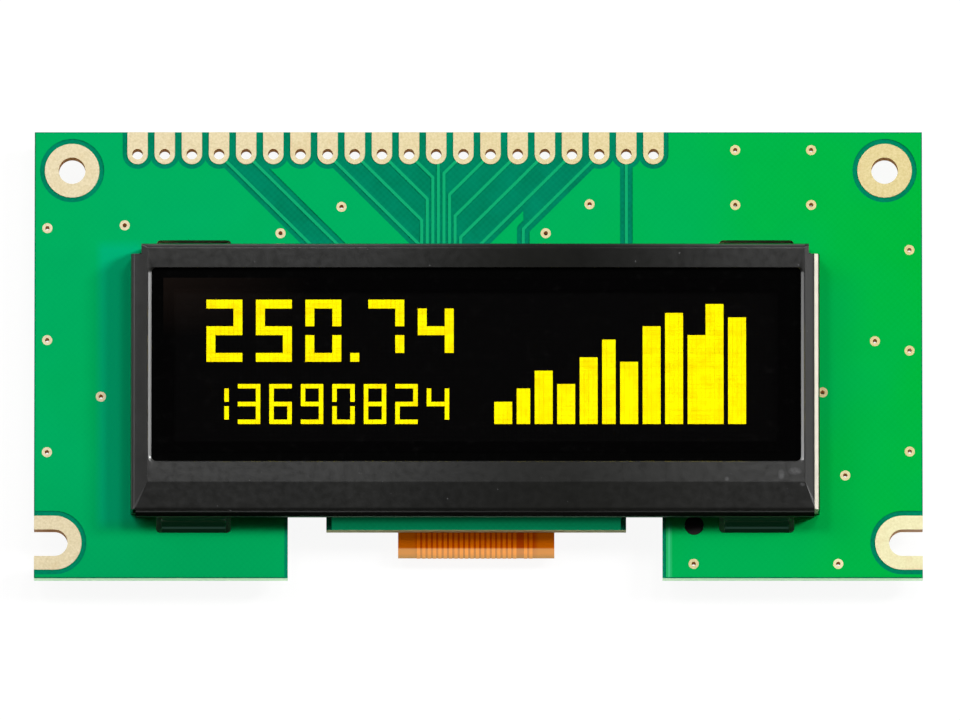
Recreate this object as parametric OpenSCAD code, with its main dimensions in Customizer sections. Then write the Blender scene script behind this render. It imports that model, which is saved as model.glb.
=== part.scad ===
// Small OLED display module: a dot-matrix glass panel under a black stamped bezel,
// carried on a green circuit board that also holds its drive electronics.
// +Z points out of the display and +Y towards the header edge. The board's centre is at
// X = 0, Y = 0, and the module lies on its tallest rear parts at Z = 0.

/* [Board] */
// Width of the circuit board
board_w = 83; // [80:0.5:95]
// Height of the circuit board, from its lower edge to the header edge
board_h = 42.2; // [41:0.2:50]
// Thickness of the circuit board
board_t = 1.6; // [0.8:0.1:2.4]
// Thickness of the copper with its mask or plating
copper_t = 0.06; // [0.04:0.01:0.12]
// Distance from the board's outer edges to the copper pour
pour_inset = 0.1; // [0.05:0.05:0.5]
// Distance from the cut-out's edges to the copper pour
cutout_inset = 0.3; // [0.1:0.05:0.6]
// Bare gap round pads and traces in the copper pour
copper_gap = 0.45; // [0.25:0.05:0.5]
// Wall thickness of the plating in holes
plating_t = 0.05; // [0.03:0.01:0.1]

/* [Mounting holes and slots] */
// Diameter of the mounting holes and width of the open slots
mount_d = 2.5; // [2:0.1:3.2]
// Outer diameter of the bare pads round them
mount_pad_d = 5.1; // [4.2:0.1:5.6]
// Distance from the side edges to the mounting holes
hole_inset_x = 3.5; // [3:0.1:4.5]
// Distance from the header edge to the mounting holes
hole_inset_y = 3.65; // [3:0.05:4.5]
// Distance from the side edges to the centre of the slots' round ends
slot_reach = 1.9; // [1.2:0.1:2.5]
// Distance from the lower edge to the slots' centre line
slot_inset_y = 3.35; // [3:0.05:4.5]

/* [Header row] */
// Number of holes in the header row
header_count = 20; // [12:1:20]
// Distance between neighbouring header holes
header_pitch = 2.54; // [2.3:0.01:2.6]
// Diameter of the header holes inside their plating
header_hole_d = 1; // [0.7:0.05:1.2]
// Width of the header pads
header_pad_w = 1.9; // [1.5:0.05:2]
// Distance from the header edge to the header holes
header_inset = 2.08; // [1.6:0.02:2.6]
// Position of the row's centre along the board, from the board's centre
header_x = -7.75; // [-9:0.05:-6]

/* [Vias and traces] */
// Diameter of the vias inside their plating
via_d = 0.4; // [0.25:0.05:0.5]
// Outer diameter of the via pads
via_pad_d = 0.95; // [0.7:0.05:1.1]
// Width of the signal traces
trace_w = 0.28; // [0.15:0.01:0.34]
// Width of the wide supply traces on the back
supply_w = 0.6; // [0.4:0.05:0.7]
// Distance between traces that run side by side to the display
lane_pitch = 0.52; // [0.46:0.01:0.6]
// Distance between the vias along the left edge
via_column = 10.6; // [9.6:0.1:11]
// Distance from the board's edges to the vias along them
via_margin = 1.2; // [1:0.05:1.4]

/* [Lower cut-out] */
// Width of the cut-out in the lower edge
cutout_w = 35; // [34:0.1:37]
// Width of the tongue that stands in the cut-out
tongue_w = 28; // [22:0.1:30]
// Distance from the board's lower edge to the end of the tongue
tongue_recess = 4.55; // [3.5:0.05:5]
// Distance from the end of the tongue to the top of the notches beside it
notch_depth = 3.2; // [2:0.1:4]

/* [Dot matrix] */
// Number of dots along the display
dot_cols = 132; // [132:1:140]
// Number of dots down the display
dot_rows = 32; // [32:1:34]
// Distance between neighbouring dots
dot_pitch = 0.42; // [0.4:0.005:0.43]
// Position of the display's centre along the board
display_x = -0.2; // [-1.5:0.05:1.5]
// Position of the display's centre up the board
display_y = -1.4; // [-1.8:0.05:-1]

/* [Panel] */
// Thickness of the front glass
glass_t = 0.7; // [0.5:0.05:0.9]
// Thickness of the edge seal between the glasses
seal_t = 0.12; // [0.08:0.01:0.2]
// Width of the edge seal
seal_w = 1.1; // [0.8:0.1:1.3]
// Thickness of the rear glass
cap_t = 0.7; // [0.5:0.05:0.9]
// Thickness of the polarizing film
polarizer_t = 0.2; // [0.1:0.01:0.24]
// Distance from the dots to the edge of the polarizing film
polarizer_margin = 1.5; // [1:0.1:1.9]
// Depth of the ledge where the front glass passes the rear glass
ledge_d = 4.1; // [3.8:0.1:4.6]
// Play between the front glass and the bezel's walls
panel_play = 0.45; // [0.3:0.05:0.6]
// Thickness of the gasket strips between the bezel and the glass
gasket_t = 0.25; // [0.2:0.01:0.3]
// Thickness of the lit dots
lit_t = 0.04; // [0.02:0.01:0.06]

/* [Driver chip] */
// Length of the bare driver chip
driver_l = 13.2; // [10:0.1:16]
// Width of the bare driver chip
driver_w = 1.5; // [1:0.1:1.8]
// Thickness of the bare driver chip
driver_t = 0.5; // [0.3:0.05:0.7]

/* [Bezel] */
// Thickness of the bezel's sheet
sheet_t = 0.4; // [0.3:0.05:0.5]
// Height of the bezel's face over the board
bezel_rise = 3.5; // [3.3:0.05:4.5]
// Outer radius of the bends round the face
bend_r = 0.55; // [0.5:0.05:0.8]
// Distance from the dots to the window's side edges
window_margin_x = 2.6; // [2:0.1:3]
// Distance from the dots to the window's upper and lower edges
window_margin_y = 2.4; // [2:0.1:2.8]
// Corner radius of the window
window_r = 0.45; // [0.2:0.05:1]
// Width of the face left of the window
border_left = 1.95; // [1.7:0.05:2.4]
// Width of the face right of the window
border_right = 1.75; // [1.6:0.05:2.4]
// Width of the face above the window
border_top = 2.35; // [2.1:0.05:2.6]
// Width of the face below the window
border_bottom = 4.85; // [4.6:0.05:5.2]
// Width of the flat rim beside the window
rim_side = 0.37; // [0.2:0.01:0.6]
// Width of the flat rim below the window
rim_bottom = 1.95; // [1.6:0.05:2.2]
// Fall of the sloped borders from the rim to the bend
slope_drop = 0.22; // [0:0.01:0.25]
// Size of the square reliefs at the bezel's corners
relief = 1; // [0.7:0.05:1.2]

/* [Bezel tabs] */
// Width of the tabs
tab_w = 6; // [4:0.1:6.6]
// Distance between the two tabs of one wall
tab_spacing = 52.6; // [46:0.1:54]
// Length of a folded tab, from its wall's outer face
tab_fold = 2.6; // [2.4:0.05:3]
// Inner radius of a tab's fold
tab_r = 0.2; // [0.1:0.05:0.3]
// Play between a tab and the ends of its slot
tab_play = 0.5; // [0.2:0.05:0.8]
// Size of a tab slot across the wall
tab_slot_h = 1.95; // [1.8:0.05:2.1]
// Distance that an upper slot passes the bezel's wall
slot_out_upper = 0.78; // [0.5:0.02:0.9]
// Distance that a lower slot passes the bezel's wall
slot_out_lower = 1.45; // [1:0.05:1.5]

/* [Locating pin] */
// Diameter of the locating pin
pin_d = 1.7; // [1.2:0.1:1.9]
// Play round the locating pin
pin_play = 0.05; // [0.02:0.01:0.15]
// Distance from the cut-out's right edge to the locating pin
pin_from_cutout = 2.95; // [2:0.05:3.4]
// Distance from the bezel's lower wall out to the locating pin
pin_out = 0.75; // [0.5:0.05:1.5]

/* [Flex tail] */
// Width of the flex tail
flex_w = 14.6; // [12:0.1:15]
// Thickness of the flex tail
flex_t = 0.1; // [0.07:0.01:0.14]
// Room below the front glass where the flex tail turns down
flex_room = 1.1; // [1:0.05:1.3]
// Length of the bond between the flex tail and the glass
flex_bond = 1.1; // [0.8:0.1:1.3]
// Bend radius of the flex tail where it passes the board
flex_r = 0.4; // [0.3:0.05:0.5]
// Radius of the fold past the tongue
fold_r = 0.4; // [0.3:0.05:0.6]
// Distance that the fold passes the tongue
flex_overhang = 2.35; // [1.5:0.05:3]
// Gap between the flex tail and the back of the board
flex_gap = 0.12; // [0.1:0.01:0.2]
// Gap on each side of the flex tail in its slot
flex_play = 0.5; // [0.4:0.05:0.6]
// Number of conductor places across the flex tail
flex_lines = 22; // [16:1:24]
// Distance between neighbouring conductors
flex_pitch = 0.5; // [0.45:0.01:0.55]
// Width of a conductor
conductor_w = 0.3; // [0.2:0.01:0.35]
// Thickness of a conductor
conductor_t = 0.03; // [0.02:0.01:0.05]
// Distance from the tail's middle to the conductors' middle
conductor_shift = 0.14; // [0:0.02:0.3]
// Length over which the tail rises to its solder lands
flex_climb = 3.2; // [2.6:0.1:4]
// Length of the soldered fingers at the tail's end
finger_l = 2.2; // [1.5:0.1:3]

/* [Rear parts] */
// Height of the inductor
inductor_h = 2; // [1.6:0.1:2.6]
// Side of the square inductor
inductor_w = 4.4; // [3.6:0.1:5]
// Height of the tantalum capacitors
tantalum_h = 2; // [1.6:0.1:2.6]
// Length of the tantalum capacitors
tantalum_l = 3.5; // [3:0.1:4]
// Width of the tantalum capacitors
tantalum_w = 2.8; // [2.2:0.1:3.2]
// Length of the small capacitors and resistors
chip_l = 2; // [1.6:0.1:2.2]
// Width of the small capacitors and resistors
chip_w = 1.25; // [0.8:0.05:1.4]
// Height of the small capacitors
capacitor_h = 1; // [0.6:0.05:1.3]
// Height of the resistors
resistor_h = 0.5; // [0.35:0.05:0.7]
// Distance between neighbouring parts in a row
row_pitch = 2.6; // [2.3:0.05:2.8]
// Distance between neighbouring rows
row_step = 3.6; // [3.4:0.05:4]
// Distance from the display's middle to the converter and the diode
converter_x = 9; // [8.6:0.1:10]
// Distance from the display's middle to the inductor
inductor_x = 16; // [15:0.1:18]
// Distance from the display's middle to the tantalum capacitors
tantalum_x = 13.5; // [12.8:0.1:16]
// Length of the converter's body
converter_l = 3; // [2.6:0.1:3.4]
// Width of the converter's body
converter_w = 1.7; // [1.4:0.1:2]
// Height of the converter's body
converter_h = 1.1; // [0.9:0.05:1.4]
// Length of the diode's body
diode_l = 2.7; // [2.4:0.1:3]
// Width of the diode's body
diode_w = 1.6; // [1.4:0.1:1.9]
// Height of the diode's body
diode_h = 1.1; // [0.8:0.05:1.3]

/* [Hidden] */
$fn = 48;
eps = 0.5;

// Board edges and heights
board_x = board_w / 2;
board_y = board_h / 2;
z_back = copper_t + max(inductor_h, tantalum_h);
z_front = z_back + board_t;
z_copper = z_front + copper_t;
z_lands = z_back - copper_t;

// Window and outline of the bezel
dots_w = dot_cols * dot_pitch;
dots_h = dot_rows * dot_pitch;
window_x0 = display_x - dots_w / 2 - window_margin_x;
window_x1 = display_x + dots_w / 2 + window_margin_x;
window_y0 = display_y - dots_h / 2 - window_margin_y;
window_y1 = display_y + dots_h / 2 + window_margin_y;
bezel_x0 = window_x0 - border_left;
bezel_x1 = window_x1 + border_right;
bezel_y0 = window_y0 - border_bottom;
bezel_y1 = window_y1 + border_top;
bezel_mid = (bezel_x0 + bezel_x1) / 2;
z_face = z_front + bezel_rise;

// Panel, hung under the bezel's face
z_glass = z_face - sheet_t - gasket_t;
z_glass_back = z_glass - glass_t;
z_cap = z_glass_back - seal_t;
z_cap_back = z_cap - cap_t;
glass_x0 = bezel_x0 + sheet_t + panel_play;
glass_x1 = bezel_x1 - sheet_t - panel_play;
glass_y0 = bezel_y0 + sheet_t + flex_room;
glass_y1 = bezel_y1 - sheet_t - panel_play;
cap_y0 = glass_y0 + ledge_d;

// Lower edge of the board
cutout_x0 = bezel_mid - cutout_w / 2;
cutout_x1 = bezel_mid + cutout_w / 2;
tongue_y = tongue_recess - board_y;
notch_y = tongue_y + notch_depth;

// Header row
header_y = board_y - header_inset;
header_x0 = header_x - header_pitch * (header_count - 1) / 2;
function header_hole(i) = header_x0 + i * header_pitch;

// Header pads with a front trace, and the lane where each one runs down to the display
trace_end = bezel_y1 - sheet_t - panel_play;
middle_pad = 11;
middle_lane = header_hole(middle_pad) + 0.2;
right_lane = header_hole(17) - 7.1;
lanes = concat(
    [for (i = [3, 4, 7]) [i, header_hole(i) + 20]],
    [for (i = [8:15]) [i, middle_lane + (i - middle_pad) * lane_pitch]],
    [[16, header_hole(16) - 20], [17, right_lane], [18, header_hole(18)]]);

// Route of the flex tail in the YZ plane: each entry holds a point and the unit normal of its outer side
flex_y = glass_y0 - flex_t / 2 - flex_r;
flex_z0 = z_glass_back - flex_t / 2;
flex_z1 = z_back - flex_gap - flex_t / 2;
flex_z2 = flex_z1 - 2 * fold_r;
flex_z3 = z_lands - flex_t / 2;
fold_y = tongue_y - flex_overhang + fold_r + flex_t / 2;
finger_y = flex_y + flex_play + flex_climb;
function turn(c, r, a0, a1, side, n) =
    [for (i = [0:n]) let (a = a0 + (a1 - a0) * i / n) [c + r * [cos(a), sin(a)], side * [cos(a), sin(a)]]];
function rise(y0, y1, z0, z1, n) =
    [for (i = [0:n]) let (s = i / n, k = (z1 - z0) / (y1 - y0) * 90 * sin(180 * s) * PI / 180)
        [[y0 + (y1 - y0) * s, z0 + (z1 - z0) * (1 - cos(180 * s)) / 2], [k, -1] / norm([k, 1])]];
conductor_x0 = display_x - conductor_shift - flex_pitch * (flex_lines - 1) / 2;
free_line = 19;
flex_upper = concat([[[glass_y0 + flex_bond, flex_z0], [0, 1]]],
    turn([flex_y + flex_r, flex_z0 - flex_r], flex_r, 90, 180, 1, 6));
flex_lower = concat(turn([flex_y - flex_r, flex_z1 + flex_r], flex_r, 0, -90, -1, 6),
    turn([fold_y, flex_z1 - fold_r], fold_r, 90, 270, 1, 12),
    rise(flex_y - flex_play, finger_y, flex_z2, flex_z3, 8),
    [[[finger_y + finger_l, flex_z3], [0, -1]]]);
function strip(path, d0, d1) = concat([for (p = path) p[0] + d1 * p[1]],
    [for (i = [len(path) - 1:-1:0]) path[i][0] + d0 * path[i][1]]);

// Places of the rear parts, in columns and in rows counted from the flex tail's end: [x, y, turn]
parts_y = finger_y + finger_l;
function column(k) = display_x + k * row_pitch;
function row_y(k) = parts_y + row_pitch + k * row_step;
flank_y = parts_y - row_pitch / 2;
inductor_at = [display_x - inductor_x, row_y(2), 0];
converter_at = [display_x - converter_x, row_y(2), 0];
diode_at = [display_x - converter_x, row_y(3), 0];
tantalums_at = [[display_x + tantalum_x + row_step, row_y(3), 0], [display_x + tantalum_x, flank_y, 0],
    [display_x - tantalum_x, flank_y, 180]];
capacitors_at = concat([for (k = [-3:3]) [column(k), row_y(0), 90]],
    [for (k = [-1:0]) [column(k), row_y(3), 90]], [[display_x + tantalum_x, row_y(3), 90]]);
resistors_at = concat([for (k = [-4:4]) [column(k), row_y(1), 90]],
    [for (k = [-1:3]) [column(k), row_y(2), 90]]);

// Metal of the rear parts: ends, leads, terminals and how far a land passes its part
end_l = 0.4;
pad_over = 0.35;
lead_t = 0.13;
lead_reach = 0.65;
lead_pitch = 0.95;
terminal_t = 0.12;
standoff = 0.1;

// Distances from a part's middle to the middle of its lands
chip_land = (chip_l - end_l + pad_over) / 2;
block_land_l = 1.4;
tantalum_land = tantalum_l / 2 + pad_over - block_land_l / 2;
inductor_land = inductor_w / 2 + pad_over - block_land_l / 2;
diode_land = diode_l / 2 + lead_reach - 0.15;
converter_land = converter_w / 2 + lead_reach - 0.1;

// Field on the back that the pour leaves free for the parts
rear_field_x = 27;
rear_field_y0 = flex_y + 2 * flex_play;
rear_field_y1 = bezel_y1 - 0.6;

// Vias, each tied to the edge or piece that it stands beside; the last ones stand among the rear parts
header_right = header_x + header_pitch * (header_count - 1) / 2 + header_pad_w / 2;
vias = concat(
    [for (i = [-1:1]) [via_margin - board_x, 1.4 + i * via_column]],
    [for (i = [-1:1]) [board_x - via_margin, 0.4 + i * 0.9 * via_column]],
    [for (i = [0:1], k = [0:1]) [header_right + 6.7 + i * 7.1, board_y - 1.7 - k * 5.2]],
    [[bezel_x0 - 0.6, bezel_y1 + 2.2], [bezel_x0 - 2.8, display_y - 2.55]],
    [[-18.5, bezel_y1 + 1.45], [-12.8, bezel_y1 + 3.95], [6.3, bezel_y1 + 1.45], [10.4, bezel_y1 + 4.2]],
    [[bezel_x1 + 5.2, display_y + 2.7], [bezel_x1 + 0.3, display_y - 2.15], [bezel_x1 + 2.4, display_y - 10]],
    [[cutout_x1 + 2.9, via_margin + 0.15 - board_y], [cutout_x1 + 16.4, via_margin + 0.15 - board_y]],
    [[column(-2), row_y(2)], [converter_at[0], row_y(2)], [display_x + tantalum_x + row_step, flank_y]]);

// Fine rear traces, as lists of points: between rows, from the flex tail and up to the header
jog_y = bezel_y1 + 3;
function near_line(x) = conductor_x0 + flex_pitch * round((x - conductor_x0) / flex_pitch);
function link(x, y0, y1) = [[x, y0 + chip_land], [x, y1 - chip_land]];
function to_header(x, y, i) = [[x, y + chip_land], [x, jog_y],
    [header_hole(i), jog_y + abs(header_hole(i) - x)], [header_hole(i), header_y]];
fine_runs = concat(
    [for (k = [-2:2]) [[near_line(column(k)), parts_y + 0.5], [near_line(column(k)), row_y(0) - chip_land]]],
    [for (k = [-3:3]) link(column(k), row_y(0), row_y(1))],
    [for (k = [-1:3]) link(column(k), row_y(1), row_y(2))],
    [for (k = [-1:0]) link(column(k), row_y(2), row_y(3))],
    [for (k = [-1:0]) to_header(column(k), row_y(3), middle_pad + 1 + k)],
    [for (k = [1:3]) to_header(column(k), row_y(2), middle_pad + 1 + k)],
    [for (s = [-1, 1]) [[column(4 * s), row_y(1) - chip_land],
        [column(4 * s) - s * (row_step - 2 * chip_land), row_y(0) + chip_land],
        [column(3 * s), row_y(0) + chip_land]]],
    [for (s = [-1, 1]) [[converter_at[0] + s * lead_pitch, row_y(1) + chip_land],
        [converter_at[0] + s * lead_pitch, row_y(2) - converter_land]]],
    [[[column(-2), row_y(1) + chip_land], [column(-2), row_y(2)]],
        [[converter_at[0], row_y(2) - converter_land], [converter_at[0], row_y(2)]],
        [[converter_at[0] + lead_pitch, row_y(2) + converter_land],
            [converter_at[0] + lead_pitch, row_y(3) - diode_land + lead_pitch],
            [diode_at[0] + diode_land, row_y(3)]],
        [[display_x + tantalum_x, row_y(3) - chip_land], [display_x + tantalum_x, row_y(2)],
            [column(4), row_y(2) - display_x - tantalum_x + column(4)]]]);

// Wide rear traces of the supply
supply_x = display_x + tantalum_x + row_step + tantalum_land;
feed_x = inductor_at[0] - inductor_land;
wide_runs = concat(
    [for (s = [-1, 1]) [[display_x + s * (tantalum_x - tantalum_land), flank_y + 0.5],
        [column(3 * s) + s * (row_y(0) - chip_land - flank_y - 0.5), flank_y + 0.5],
        [column(3 * s), row_y(0) - chip_land]]],
    [[[inductor_at[0] + inductor_land, row_y(2) + 1.2],
            [diode_at[0] - diode_land - row_step + 1.2, row_y(2) + 1.2],
            [diode_at[0] - diode_land, row_y(3)]],
        [[diode_at[0] + diode_land, row_y(3)], [diode_at[0] + diode_land + chip_land, row_y(3) + chip_land],
            [column(0), row_y(3) + chip_land]],
        [[converter_at[0] - lead_pitch, row_y(2) + converter_land],
            [converter_at[0] - lead_pitch, row_y(3) - diode_land + lead_pitch],
            [diode_at[0] - diode_land, row_y(3)]],
        [[display_x - tantalum_x - tantalum_land, flank_y],
            [feed_x, flank_y + display_x - tantalum_x - tantalum_land - feed_x], [feed_x, row_y(2)]],
        [[feed_x, row_y(2)], [feed_x, bezel_y1 - 1],
            [header_hole(6), bezel_y1 - 1 + abs(header_hole(6) - feed_x)], [header_hole(6), header_y]],
        [[display_x + tantalum_x, row_y(3) + chip_land],
            [display_x + tantalum_x + row_step - tantalum_land, row_y(3) + chip_land]],
        [[supply_x, row_y(3)], [supply_x, header_y - 4],
            [header_hole(19), header_y - 4 + abs(supply_x - header_hole(19))], [header_hole(19), header_y]],
        [[display_x + tantalum_x + tantalum_land, flank_y],
            [display_x + tantalum_x + row_step, flank_y]]]);

// Box between two corners
module block(low, high) {
    translate(low)
        cube(high - low);
}

// Rectangle with round corners between two corners
module round_rect(low, high, r) {
    for (x = [low[0] + r, high[0] - r], y = [low[1] + r, high[1] - r])
        translate([x, y])
            circle(r);
    translate([low[0] + r, low[1]])
        square([high[0] - low[0] - 2 * r, high[1] - low[1]]);
    translate([low[0], low[1] + r])
        square([high[0] - low[0], high[1] - low[1] - 2 * r]);
}

// A profile drawn in YZ, drawn out along X about x = 0
module along_x(w) {
    rotate([90, 0, 90])
        linear_extrude(w, center = true)
            children();
}

// The four mounting places: two holes above, two slots open to the side below
module mount_shape(d) {
    for (s = [-1, 1]) {
        translate([s * (board_x - hole_inset_x), board_y - hole_inset_y])
            circle(d / 2);
        translate([s * (board_x - slot_reach), slot_inset_y - board_y])
            circle(d / 2);
    }
}

// Straight part of the open slots, drawn out past the board's edge by extra
module slot_shape(d, extra) {
    for (s = [-1, 1])
        translate([s * (board_x - slot_reach / 2 + extra / 2), slot_inset_y - board_y])
            square([slot_reach + extra, d], center = true);
}

// Slots for the bezel's tabs
module tab_slots() {
    w = tab_w / 2 + tab_play;
    for (s = [-1, 1]) {
        x = bezel_mid + s * tab_spacing / 2;
        upper = bezel_y1 + slot_out_upper;
        lower = bezel_y0 - slot_out_lower;
        round_rect([x - w, upper - tab_slot_h], [x + w, upper], 0.4);
        round_rect([x - w, lower], [x + w, lower + tab_slot_h], 0.4);
    }
}

// Slot that the flex tail passes through
module flex_slot() {
    w = flex_w / 2 + flex_play;
    d = flex_t / 2 + flex_play;
    round_rect([display_x - w, flex_y - d], [display_x + w, flex_y + d], 0.4);
}

// Outline of the board, set in by edge from its outer edges and by inner from its cut-out
module board_outline(edge, inner) {
    difference() {
        square([board_w - 2 * edge, board_h - 2 * edge], center = true);
        translate([cutout_x0 - inner, -board_y - 1])
            square([cutout_w + 2 * inner, notch_y + inner + board_y + 1]);
    }
    translate([display_x - tongue_w / 2 + inner, tongue_y + inner])
        square([tongue_w - 2 * inner, notch_y - tongue_y]);
}

// Laminate with its cut-outs, slots and drilled holes
module pcb() {
    color([0.02, 0.42, 0.24])
        translate([0, 0, z_back])
            linear_extrude(board_t)
                difference() {
                    board_outline(0, 0);
                    mount_shape(mount_d + 2 * plating_t);
                    slot_shape(mount_d + 2 * plating_t, 1);
                    tab_slots();
                    flex_slot();
                    translate([cutout_x1 + pin_from_cutout, bezel_y0 - pin_out])
                        circle(pin_d / 2 + pin_play);
                    for (i = [0:header_count - 1])
                        translate([header_hole(i), header_y])
                            circle(header_hole_d / 2 + plating_t);
                    for (v = vias)
                        translate(v)
                            circle(via_d / 2 + plating_t);
                }
}

// Outline of the header pads, which run from the board's edge to a round end
module header_pad_shape(w) {
    for (i = [0:header_count - 1]) {
        translate([header_hole(i), header_y])
            circle(w / 2);
        translate([header_hole(i) - w / 2, header_y])
            square([w, header_inset]);
    }
}

// Places that no copper pour covers on either face
module pour_clearance() {
    header_pad_shape(header_pad_w + 2 * copper_gap);
    mount_shape(mount_pad_d + 2 * copper_gap);
    slot_shape(mount_pad_d + 2 * copper_gap, 1);
    tab_slots();
    flex_slot();
    translate([cutout_x1 + pin_from_cutout, bezel_y0 - pin_out])
        circle(pin_d / 2 + pin_play);
    translate([display_x - tongue_w / 2, -board_y])
        square([tongue_w, board_y + flex_y + 2 * flex_play]);
    for (v = vias)
        translate(v)
            circle(via_pad_d / 2);
}

// One trace that leaves header pad i, crosses at 45 degrees to its lane, then runs down to the display
module trace(i, lane, w) {
    x = header_hole(i);
    dx = lane - x;
    fall = min(abs(dx), header_y - trace_end);
    corner = [x + sign(dx) * fall, header_y - fall];
    along = norm([fall, fall]);
    translate([x, header_y])
        rotate(-90 + sign(dx) * 45)
            translate([0, -w / 2])
                square([dx == 0 ? 0.01 : along, w]);
    if (corner[1] > trace_end + w)
        translate([corner[0] - w / 2, trace_end])
            square([w, corner[1] - trace_end]);
    if (corner[1] > trace_end + w)
        translate(corner)
            circle(w / 2);
}

module trace_shapes(w) {
    for (t = lanes)
        trace(t[0], t[1], w);
}

// Bare fields between the traces of the middle bundle and between the two on the left
module bare_fields() {
    depth = header_y - trace_end;
    polygon([[header_hole(7), header_y], [header_hole(7) + depth, trace_end],
        [header_hole(16) - depth, trace_end], [right_lane, header_y - header_hole(16) + right_lane],
        [right_lane, header_y - header_hole(17) + right_lane], [header_hole(17), header_y]]);
    polygon([[header_hole(3), header_y], [header_hole(3) + depth, trace_end],
        [header_hole(4) + depth, trace_end], [header_hole(4), header_y]]);
}

module front_pour() {
    color([0, 0.62, 0.3])
        translate([0, 0, z_front])
            linear_extrude(copper_t)
                difference() {
                    board_outline(pour_inset, cutout_inset);
                    pour_clearance();
                    trace_shapes(trace_w + 2 * copper_gap);
                    bare_fields();
                }
}

module signal_traces() {
    color([0.05, 0.6, 0.4])
        translate([0, 0, z_front])
            linear_extrude(copper_t)
                difference() {
                    trace_shapes(trace_w);
                    header_pad_shape(header_pad_w);
                }
}

// Straight runs of width w through a list of points
module track(points, w) {
    for (i = [0:len(points) - 2]) {
        step = points[i + 1] - points[i];
        translate(points[i])
            rotate(atan2(step[1], step[0]))
                translate([0, -w / 2])
                    square([norm(step), w]);
    }
    for (i = [1:1:len(points) - 2])
        translate(points[i])
            circle(w / 2);
}

// The rear traces, widened by extra
module rear_trace_shapes(extra) {
    for (points = fine_runs)
        track(points, trace_w + extra);
    for (points = wide_runs)
        track(points, supply_w + extra);
}

module rear_traces() {
    color([0.05, 0.6, 0.4])
        translate([0, 0, z_lands])
            linear_extrude(copper_t)
                difference() {
                    rear_trace_shapes(0);
                    header_pad_shape(header_pad_w);
                    rear_land_shapes();
                    for (v = vias)
                        translate(v)
                            circle(via_pad_d / 2);
                }
}

// Rear pour: both flanks and the header side, clear of the field where the parts stand
module rear_pour() {
    color([0, 0.62, 0.3])
        translate([0, 0, z_lands])
            linear_extrude(copper_t)
                difference() {
                    board_outline(pour_inset, cutout_inset);
                    pour_clearance();
                    rear_trace_shapes(2 * copper_gap);
                    translate([display_x - rear_field_x, rear_field_y0 - 1])
                        square([2 * rear_field_x, rear_field_y1 - rear_field_y0 + 1]);
                }
}

// Pads on both faces, joined by a plated wall through the board
module plated() {
    translate([0, 0, z_lands])
        linear_extrude(copper_t)
            children(0);
    translate([0, 0, z_front])
        linear_extrude(copper_t)
            children(0);
    translate([0, 0, z_lands])
        linear_extrude(board_t + 2 * copper_t)
            children(1);
}

module header_pads() {
    color([0.93, 0.84, 0.62])
        plated() {
            difference() {
                header_pad_shape(header_pad_w);
                for (i = [0:header_count - 1])
                    translate([header_hole(i), header_y])
                        circle(header_hole_d / 2);
            }
            for (i = [0:header_count - 1])
                translate([header_hole(i), header_y])
                    difference() {
                        circle(header_hole_d / 2 + plating_t);
                        circle(header_hole_d / 2);
                    }
        }
}

module mount_pads() {
    color([0.93, 0.84, 0.62])
        plated() {
            difference() {
                intersection() {
                    union() {
                        mount_shape(mount_pad_d);
                        slot_shape(mount_pad_d, 0);
                    }
                    square([board_w, board_h], center = true);
                }
                mount_shape(mount_d);
                slot_shape(mount_d, 1);
            }
            difference() {
                union() {
                    mount_shape(mount_d + 2 * plating_t);
                    slot_shape(mount_d + 2 * plating_t, 0);
                }
                mount_shape(mount_d);
                slot_shape(mount_d, 1);
            }
        }
}

module via_pads() {
    color([0.93, 0.84, 0.62])
        plated() {
            for (v = vias)
                translate(v)
                    difference() {
                        circle(via_pad_d / 2);
                        circle(via_d / 2);
                    }
            for (v = vias)
                translate(v)
                    difference() {
                        circle(via_d / 2 + plating_t);
                        circle(via_d / 2);
                    }
        }
}

// Section of the bezel between two walls, set in by inset: each side has its rim edge and its fall
module bezel_section(a0, a1, rim0, rim1, drop0, drop1, inset, foot) {
    r = bend_r - inset;
    polygon(concat([[a0 + inset, foot]],
        [for (a = [180:-15:90]) [a0 + bend_r, z_face - drop0 - bend_r] + r * [cos(a), sin(a)]],
        [[rim0, z_face - inset], [rim1, z_face - inset]],
        [for (a = [90:-15:0]) [a1 - bend_r, z_face - drop1 - bend_r] + r * [cos(a), sin(a)]],
        [[a1 - inset, foot]]));
}

// Solid inside the bezel's skin: the crossing of its two sections, so that the slopes meet in mitres
module bezel_form(inset, foot) {
    intersection() {
        translate([0, (bezel_y0 + bezel_y1) / 2, 0])
            rotate([90, 0, 0])
                linear_extrude(bezel_y1 - bezel_y0 + 2, center = true)
                    bezel_section(bezel_x0, bezel_x1, window_x0 - rim_side, window_x1 + rim_side,
                        slope_drop, slope_drop, inset, foot);
        translate([bezel_mid, 0, 0])
            along_x(bezel_x1 - bezel_x0 + 2)
                bezel_section(bezel_y0, bezel_y1, window_y0 - rim_bottom, bezel_y1 - bend_r,
                    slope_drop, 0, inset, foot);
    }
}

// Section of a tab that passes the board and folds outward on its back
module tab_section() {
    top = z_copper + eps;
    c = [tab_r, z_lands + tab_r];
    polygon(concat([[-sheet_t, top]],
        [for (a = [180:15:270]) c + (tab_r + sheet_t) * [cos(a), sin(a)]],
        [[tab_fold, z_lands - sheet_t], [tab_fold, z_lands]],
        [for (a = [270:-15:180]) c + tab_r * [cos(a), sin(a)]],
        [[0, top]]));
}

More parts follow.
